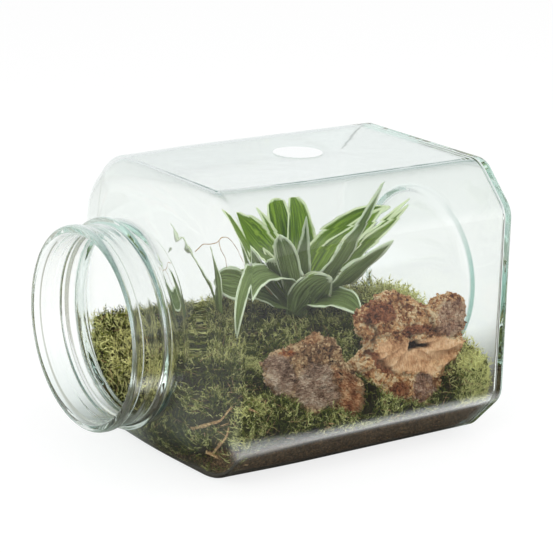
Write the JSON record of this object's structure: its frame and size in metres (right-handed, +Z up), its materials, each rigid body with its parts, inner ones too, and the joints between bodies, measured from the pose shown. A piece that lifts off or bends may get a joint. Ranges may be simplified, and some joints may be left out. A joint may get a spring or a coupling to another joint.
{
  "type": "glass jar plant terrarium",
  "caption": "Square clear glass jar lying on its side, planted with a variegated rosette in moss and soil, with two chunks of bark.",
  "frame": {"origin": "middle of the footprint, on the surface that the jar lies on", "axes": "+X along the jar from its mouth to its base, -Y its front, +Z up"},
  "size_m": [0.247, 0.17, 0.1703],
  "materials": {
    "clear_glass": "clear pressed glass, faint green in its thick edges",
    "potting_soil": "damp crumbly soil",
    "sheet_moss": "springy green moss with brown stems",
    "weathered_bark": "grey weathered bark with orange-brown broken edges",
    "cork_bark": "tan cork with reddish crumbly patches",
    "variegated_leaf": "satin green leaf with cream margins",
    "dry_straw": "dry orange-brown stalk",
    "white_paper": "blank white paper label"
  },
  "bodies": {
    "root": {"glass_jar": "clear_glass", "soil_bed": "potting_soil", "moss": "sheet_moss", "bark_left": "weathered_bark", "bark_right": "cork_bark", "plant": "variegated_leaf", "straw_upper": "dry_straw", "straw_middle": "dry_straw", "straw_long": "dry_straw", "round_label": "white_paper"}
  },
  "joints": []
}
